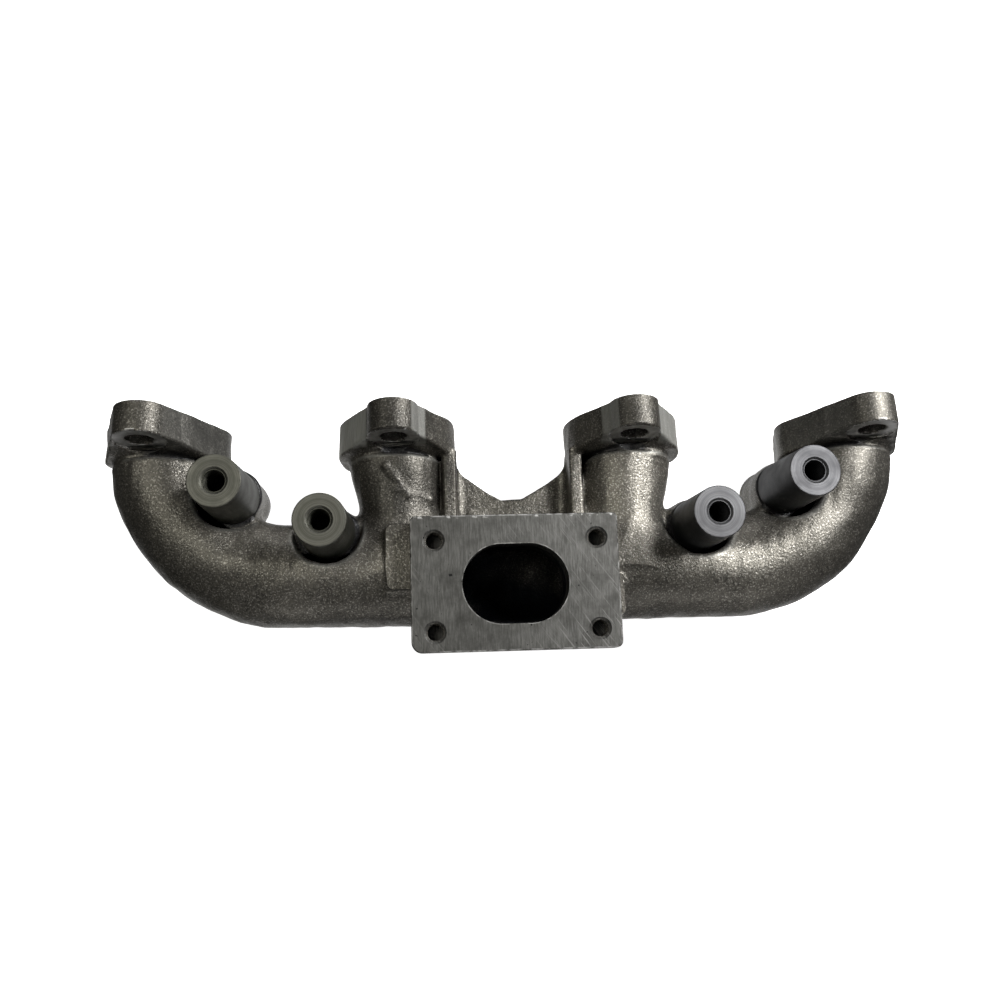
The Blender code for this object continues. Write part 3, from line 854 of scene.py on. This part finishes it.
def solid(name, points, faces):
    bm = bmesh.new()
    add_faces(bm, points, faces)
    bmesh.ops.recalc_face_normals(bm, faces=bm.faces)
    mesh = bpy.data.meshes.new(name)
    bm.to_mesh(mesh)
    bm.free()
    obj = bpy.data.objects.new(name, mesh)
    bpy.context.scene.collection.objects.link(obj)
    return obj


def extrusion(rows):
    """Closed solid through outlines (all of one length), each at its own height."""
    count = len(rows[0][0])
    points = [(x, y, z) for outline, z in rows for x, y in outline]
    faces = [list(range(count - 1, -1, -1))]
    for row in range(len(rows) - 1):
        for i in range(count):
            j = (i + 1) % count
            a = row * count
            faces.append([a + i, a + j, a + count + j, a + count + i])
    last = (len(rows) - 1) * count
    faces.append(list(range(last, last + count)))
    return points, faces


def rounded_outline(corners, inset=0.0, steps=8):
    """Outline through rounded corners (x, y, radius), listed anticlockwise."""
    outline = []
    count = len(corners)
    for i, (x, y, radius) in enumerate(corners):
        before = Vector(corners[i - 1][:2]) - Vector((x, y))
        after = Vector(corners[(i + 1) % count][:2]) - Vector((x, y))
        before.normalize()
        after.normalize()
        middle = (before + after).normalized()
        half = math.acos(max(-1, min(1, before.dot(after)))) / 2
        centre = Vector((x, y)) + middle * (radius / math.sin(half))
        start = math.atan2(before.x, -before.y)
        sweep = math.pi - 2 * half
        for step in range(steps + 1):
            a = start + sweep * step / steps
            size = radius - inset
            outline.append((centre.x + size * math.cos(a), centre.y + size * math.sin(a)))
    return outline


def flange_blank():
    """The flange's plate, without its holes."""
    left, right = TURBO_X - TURBO_W, TURBO_X + TURBO_W
    bottom, top = TURBO_Y - TURBO_H, TURBO_Y + TURBO_H
    corners = (
        (left, bottom, 4.6), (right, bottom, 3.0), (right, top, 2.2), (left, top, 2.4),
    )
    back_edge = 0.8
    rows = (
        (rounded_outline(corners, back_edge), -TURBO_T),
        (rounded_outline(corners), -TURBO_T + back_edge),
        (rounded_outline(corners), -TURBO_EDGE),
        (rounded_outline(corners, TURBO_EDGE), 0.0),
    )
    return solid("turbo_flange", *extrusion(rows))


def port_outline(steps=32):
    outline = []
    for end in (1, -1):
        for step in range(steps + 1):
            a = math.pi * step / steps - math.pi / 2
            outline.append((TURBO_X + end * (PORT_W - PORT_H + PORT_H * math.cos(a)),
                            PORT_Y + end * PORT_H * math.sin(a)))
    return outline


def build_turbo_flange(face_iron, iron):
    plate = flange_blank()
    port = port_outline()
    cutters = [solid("port", *extrusion(((port, -30.0), (port, 3.0))))]
    threads = []
    for along in (-1, 1):
        for up in (-1, 1):
            centre = (STUD_X + along * STUD_DX, up * STUD_DY)
            profile = ((0, -STUD_DEPTH), (3.65, -STUD_DEPTH), (3.65, -1.3), (5.95, 1.0), (0, 1.0))
            cutters.append(solid("stud", *lathe(profile, 48, centre)))
            threads.append(thread(centre, -0.9, 0.3 - STUD_DEPTH, 3.95, 3.35, 1.25))
    apply_booleans(plate, cutters)
    bm = bmesh.new()
    bm.from_mesh(plate.data)
    for points, faces in threads:
        add_faces(bm, points, faces)
    bm.transform(Matrix.Translation(ORIGIN) @ Matrix.Scale(MM, 4))
    bm.to_mesh(plate.data)
    bm.free()
    plate.data.shade_smooth()
    plate.data.set_sharp_from_angle(angle=math.radians(25))
    plate.data.materials.clear()
    plate.data.materials.append(face_iron)
    plate.data.materials.append(iron)
    plate.name = "turbo_flange_plate"

    # Its face, port and holes are milled. Its back and its outer sides are as cast.
    for polygon in plate.data.polygons:
        at = (polygon.center - ORIGIN) / MM
        outer = abs(at.x - TURBO_X) > TURBO_W - 1.0 or abs(at.y - TURBO_Y) > TURBO_H - 0.8
        side = abs(polygon.normal.z) < 0.5 and at.z < -0.4 and outer
        polygon.material_index = 1 if side or polygon.normal.z < -0.5 else 0
    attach(plate, "root")
    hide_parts("turbo_flange")


# ---------------------------------------------------------------- materials

class Nodes:
    """Short way to write a material's nodes."""

    def __init__(self, name):
        self.material = bpy.data.materials.new(name)
        self.material.use_nodes = True
        self.tree = self.material.node_tree
        self.shader = self.tree.nodes["Principled BSDF"]
        self.place = self.add("ShaderNodeTexCoord").outputs["Object"]

    def add(self, kind, **settings):
        node = self.tree.nodes.new(kind)
        for key, value in settings.items():
            setattr(node, key, value)
        return node

    def link(self, value, socket):
        if isinstance(value, bpy.types.NodeSocket):
            self.tree.links.new(value, socket)
        else:
            socket.default_value = value

    def noise(self, scale, detail=2.0, rough=0.5, place=None):
        """Noise of about scale to the metre, or to the unit of another place."""
        node = self.add("ShaderNodeTexNoise")
        self.link(place or self.place, node.inputs["Vector"])
        node.inputs["Scale"].default_value = scale
        node.inputs["Detail"].default_value = detail
        node.inputs["Roughness"].default_value = rough
        return node.outputs["Fac"]

    def stretch(self, scale, turn=0.0):
        """Coordinates turned about Z, then scaled."""
        node = self.add("ShaderNodeMapping", vector_type="TEXTURE")
        self.link(self.place, node.inputs["Vector"])
        node.inputs["Scale"].default_value = [1.0 / value for value in scale]
        node.inputs["Rotation"].default_value = (0, 0, turn)
        return node.outputs["Vector"]

    def axes(self):
        node = self.add("ShaderNodeSeparateXYZ")
        self.link(self.place, node.inputs[0])
        return node.outputs

    def lighten(self, color, gain):
        """color times one more than gain."""
        node = self.add("ShaderNodeVectorMath", operation="SCALE")
        self.link(color, node.inputs[0])
        self.link(self.math("ADD", gain, 1.0), node.inputs["Scale"])
        return node.outputs[0]

    def span(self, value, low, high, out_low=0.0, out_high=1.0):
        """value's stretch from low to high, taken to out_low to out_high and held there."""
        node = self.add("ShaderNodeMapRange")
        self.link(value, node.inputs["Value"])
        keys = ("From Min", "From Max", "To Min", "To Max")
        for key, number in zip(keys, (low, high, out_low, out_high)):
            node.inputs[key].default_value = number
        return node.outputs["Result"]

    def attribute(self, name):
        return self.add("ShaderNodeAttribute", attribute_name=name).outputs["Fac"]

    def math(self, operation, *values):
        node = self.add("ShaderNodeMath", operation=operation)
        for value, socket in zip(values, node.inputs):
            self.link(value, socket)
        return node.outputs[0]

    def length(self, a, b):
        square = self.math("ADD", self.math("MULTIPLY", a, a), self.math("MULTIPLY", b, b))
        return self.math("SQRT", square)

    def mix(self, factor, a, b):
        node = self.add("ShaderNodeMix", data_type="RGBA")
        self.link(factor, node.inputs[0])
        self.link((*a, 1.0) if isinstance(a, tuple) else a, node.inputs[6])
        self.link((*b, 1.0) if isinstance(b, tuple) else b, node.inputs[7])
        return node.outputs[2]

    def bump(self, height, distance, strength=1.0, before=None):
        node = self.add("ShaderNodeBump")
        self.link(height, node.inputs["Height"])
        node.inputs["Distance"].default_value = distance
        self.link(strength, node.inputs["Strength"])
        if before:
            self.link(before, node.inputs["Normal"])
        return node.outputs["Normal"]

    def finish(self, color, roughness, normal, metallic=1.0):
        self.link(color, self.shader.inputs["Base Color"])
        self.link(roughness, self.shader.inputs["Roughness"])
        self.link(normal, self.shader.inputs["Normal"])
        self.link(metallic, self.shader.inputs["Metallic"])
        return self.material


def cast_iron():
    """Oxidised sand casting: dark, slightly warm, with a fine grain that glitters."""
    n = Nodes("cast_iron")
    grain = n.noise(1050, 2.0, 0.6)
    sand = n.noise(720, 3.0, 0.6)
    patches = n.noise(45, 4.0, 0.6)
    glint = n.span(n.noise(1300, 1.0, 0.5), 0.54, 0.72)
    base = n.mix(n.span(patches, 0.35, 0.68), (0.046, 0.0435, 0.038), (0.088, 0.082, 0.070))
    base = n.mix(n.span(sand, 0.35, 0.7), base, (0.105, 0.098, 0.083))
    base = n.mix(glint, base, (0.25, 0.237, 0.212))
    # Painted light and shade: lighter and darker patches from the vertex attribute
    base = n.lighten(base, n.attribute("light_and_shade"))
    marks = n.noise(1.0, 3.0, 0.6, n.stretch((900, 40, 900)))
    # Pale colour of the ground flange sides; it also gives the painted highlights on the recess rims
    # and shoulder lips and the painted light on the inner left flange's far facet
    pale = n.mix(n.span(marks, 0.3, 0.7), (0.32, 0.32, 0.30), (0.44, 0.44, 0.415))
    smooth = n.attribute("ground_and_painted_light")
    base = n.mix(smooth, base, pale)
    # Black inside the gas passages, and painted shade in the post recesses and under the flanges
    base = n.mix(n.attribute("black_and_shade"), base, (0.006, 0.007, 0.010))
    worn = n.math("MINIMUM", n.math("MULTIPLY", smooth, 2.5), 1.0)
    rough = n.math("MAXIMUM", n.span(sand, 0.3, 0.7, 0.37, 0.50), n.math("MULTIPLY", worn, 0.6))
    relief = n.math("SUBTRACT", 1.0, n.math("MULTIPLY", worn, 0.9))
    relief = n.math("MULTIPLY", relief, n.span(n.axes()[0], 0.125, 0.16, 1.0, 0.55))
    normal = n.bump(sand, 0.00020, n.math("MULTIPLY", relief, 0.75))
    normal = n.bump(grain, 0.00022, n.math("MULTIPLY", relief, 0.9), normal)
    return n.finish(base, rough, normal, 0.75)


def milled_iron():
    """Milled flange face: mottled grey, with short upright marks, scratches and worn edges."""
    n = Nodes("milled_iron")
    marks = n.noise(1.0, 3.0, 0.6, n.stretch((1500, 190, 60)))
    wide = n.noise(1.0, 2.0, 0.5, n.stretch((260, 60, 30)))
    cloud = n.noise(90, 6.0, 0.7)
    base = n.mix(n.span(marks, 0.3, 0.7), (0.070, 0.069, 0.064), (0.138, 0.136, 0.129))
    base = n.mix(n.span(cloud, 0.44, 0.66, 0.0, 0.75), base, (0.050, 0.049, 0.045))

    x, y, z = n.axes()
    slanting = n.noise(1.0, 2.0, 0.5, n.stretch((55, 1400, 55), math.radians(-54)))
    here_and_there = n.span(n.noise(30, 1.0, 0.5), 0.50, 0.64, 0.0, 0.4)
    corner = n.math("MULTIPLY", n.span(n.math("SUBTRACT", x, y), 0.050, 0.080),
                    n.span(x, 0.060, 0.062, 1.0, 0.0))
    where = n.math("MAXIMUM", corner, here_and_there)
    scratch = n.math("MULTIPLY", n.span(slanting, 0.60, 0.68), where)
    base = n.mix(n.math("MULTIPLY", scratch, 0.6), base, (0.26, 0.255, 0.245))
    pits = n.span(n.noise(420, 1.0, 0.5), 0.74, 0.78)
    base = n.mix(pits, base, (0.012, 0.012, 0.012))

    # Worn edges: the outline, with nicks along its top, and the rim of the port
    across = n.math("ABSOLUTE", n.math("SUBTRACT", x, ORIGIN.x + TURBO_X * MM))
    up = n.math("SUBTRACT", y, ORIGIN.y + TURBO_Y * MM)
    outline = n.math("MAXIMUM", n.math("SUBTRACT", across, TURBO_W * MM),
                     n.math("SUBTRACT", n.math("ABSOLUTE", up), TURBO_H * MM))
    broken = n.span(n.noise(240, 2.0, 0.5), 0.42, 0.58)
    rim = n.math("MULTIPLY", n.span(outline, -0.70 * MM, -0.45 * MM, 0.0, 0.7), broken)
    nicks = n.math("MULTIPLY", n.span(up, (TURBO_H - 1.5) * MM, (TURBO_H - 0.7) * MM),
                   n.span(n.noise(330, 2.0, 0.5), 0.58, 0.64))
    end = n.math("MAXIMUM", n.math("SUBTRACT", across, (PORT_W - PORT_H) * MM), 0.0)
    middle = n.math("SUBTRACT", y, ORIGIN.y + PORT_Y * MM)
    reach = n.length(end, middle)
    lip = n.span(reach, (PORT_H + 0.25) * MM, (PORT_H + 0.45) * MM, 0.45, 0.0)
    worn = n.math("MAXIMUM", n.math("MAXIMUM", rim, nicks), n.math("MULTIPLY", lip, broken))
    on_face = n.math("MULTIPLY", n.span(z, ORIGIN.z - 0.5 * MM, ORIGIN.z - 0.4 * MM),
                     n.span(outline, 0.1 * MM, 0.3 * MM, 1.0, 0.0))
    base = n.mix(n.math("MULTIPLY", worn, on_face), base, (0.46, 0.455, 0.44))
    rough = n.span(wide, 0.3, 0.7, 0.46, 0.6)
    normal = n.bump(marks, 0.00006, 0.6)
    return n.finish(base, rough, normal, 0.9)


def spot_iron_painted_light():
    """Spot faces: machined cuts, seen mostly from below, with painted light: their colour is brighter
    than the milled face's, for light that barely reaches them.
    """
    n = Nodes("spot_iron_painted_light")
    cloud = n.noise(220, 3.0, 0.6)
    # Painted light: a base colour well above the milled face's, for light that barely reaches the
    # spot faces
    base = n.mix(n.span(cloud, 0.35, 0.7), (0.24, 0.235, 0.225), (0.46, 0.455, 0.44))
    rough = n.span(cloud, 0.3, 0.7, 0.4, 0.55)
    return n.finish(base, rough, n.bump(n.noise(900, 2.0, 0.5), 0.00008, 0.6), 0.9)


def turned_iron(name, centre, low, high):
    """Turned post: rings round its axis on the face, fine turns down its side."""
    n = Nodes(name)
    x, y, z = n.axes()
    dx = n.math("SUBTRACT", x, centre[0])
    dy = n.math("SUBTRACT", y, centre[1])
    radius = n.length(dx, dy)
    along = n.add("ShaderNodeCombineXYZ")
    n.link(radius, along.inputs[0])
    n.link(z, along.inputs[1])
    rings = n.noise(2200, 2.0, 0.5, along.outputs[0])
    cloud = n.noise(90, 3.0, 0.6)
    base = n.mix(n.span(rings, 0.3, 0.7), low, high)
    base = n.mix(n.span(cloud, 0.4, 0.75, 0.0, 0.5), base, low)
    on_top = n.span(z, ORIGIN.z + (POST_FACE - 1.0) * MM, ORIGIN.z + (POST_FACE - 0.6) * MM)
    base = n.mix(on_top, tuple(0.72 * value for value in low), base)
    rough = n.span(cloud, 0.3, 0.7, 0.42, 0.58)
    normal = n.bump(rings, 0.00005, 0.6)
    return n.finish(base, rough, normal, 0.9)


def studio_white():
    """Pale floor and backdrop, bright enough to read as white."""
    n = Nodes("studio_white")
    cloud = n.noise(3.0, 2.0, 0.5)
    n.link(n.mix(cloud, (0.90, 0.90, 0.90), (0.93, 0.93, 0.93)), n.shader.inputs["Base Color"])
    n.shader.inputs["Emission Color"].default_value = (1, 1, 1, 1)
    n.shader.inputs["Emission Strength"].default_value = 0.93
    n.shader.inputs["Roughness"].default_value = 0.9
    return n.material


# ---------------------------------------------------------------- camera, floor and lights

def add_camera():
    """Camera almost straight over the flange's face, turned a little about each axis."""
    turn = Matrix.Rotation(math.radians(1.81), 3, "Z")
    turn = turn @ Matrix.Rotation(math.radians(-10.05), 3, "X")
    turn = turn @ Matrix.Rotation(math.radians(4.11), 3, "Y")
    from_origin = Vector((9.4, -36.7, -436.7))
    place = -(turn.transposed() @ from_origin)
    data = bpy.data.cameras.new("camera")
    data.lens = 36.0
    data.sensor_width = 36.0
    camera = bpy.data.objects.new("camera", data)
    camera.matrix_world = Matrix.Translation(ORIGIN + place * MM) @ turn.transposed().to_4x4()
    bpy.context.scene.collection.objects.link(camera)
    bpy.context.scene.camera = camera


def add_stage(material):
    """Floor under the part and a dome round it. They are seen, but light nothing."""
    level = CAD_BOX[0][2] - 0.0005
    radius = 6.0
    dome = [(radius * math.cos(a), radius * math.sin(a)) for a in np.linspace(0, math.pi / 2, 13)]
    dome[-1] = (0, radius)
    for name, profile in (("floor", [(0, 0), (radius, 0)]), ("backdrop", dome)):
        points, faces = lathe(profile, 64)
        mesh = bpy.data.meshes.new(name)
        mesh.from_pydata([(x, y, z + level) for x, y, z in points], [], faces)
        mesh.materials.append(material)
        mesh.shade_smooth()
        obj = bpy.data.objects.new(name, mesh)
        bpy.context.scene.collection.objects.link(obj)
        obj.visible_diffuse = False
        obj.visible_glossy = False
        obj.visible_shadow = False


def add_light(name, place, target, size, power, color=(1, 1, 1)):
    data = bpy.data.lights.new(name, "AREA")
    data.shape = "RECTANGLE"
    data.size, data.size_y = size
    data.energy = power
    data.color = color
    light = bpy.data.objects.new(name, data)
    way = Vector(target) - Vector(place)
    light.matrix_world = Matrix.Translation(place) @ way.to_track_quat("-Z", "Y").to_matrix().to_4x4()
    bpy.context.scene.collection.objects.link(light)


def add_lights():
    bpy.context.scene.view_settings.view_transform = "Standard"
    world = bpy.data.worlds.new("studio")
    world.use_nodes = True
    world.node_tree.nodes["Background"].inputs[0].default_value = (1, 1, 1, 1)
    world.node_tree.nodes["Background"].inputs[1].default_value = 0.05
    bpy.context.scene.world = world
    add_light("key", (0.46, 0.24, 0.53), (0.04, 0, 0.04), (0.35, 0.35), 9.5)
    add_light("fill", (-0.45, 0.10, 0.75), (-0.04, 0, 0.04), (0.4, 0.4), 2.1, (1.0, 0.99, 0.90))
    add_light("top", (0.05, 0.80, 0.12), (0, 0, 0.03), (0.9, 0.25), 2.0)
    add_light("low", (0.10, -0.80, 0.12), (0, 0, 0.04), (0.9, 0.25), 1.5)
    add_light("under", (0, -0.05, -0.50), (0, 0, 0.04), (1.2, 0.9), 3.0)


def main():
    add_camera()
    iron = cast_iron()
    milled = milled_iron()
    build_casting(iron, milled, spot_iron_painted_light())
    posts = {}
    for kind, (x, y, *_) in POSTS.items():
        for side, sign in SIDES.items():
            centre = (ORIGIN.x + sign * x * MM, ORIGIN.y + y * MM)
            tones = POST_TONES[kind, side]
            posts[kind, side] = turned_iron(f"turned_{kind}_{side}", centre, *tones)
    build_posts(posts)
    build_turbo_flange(milled, iron)
    add_stage(studio_white())
    add_lights()


main()
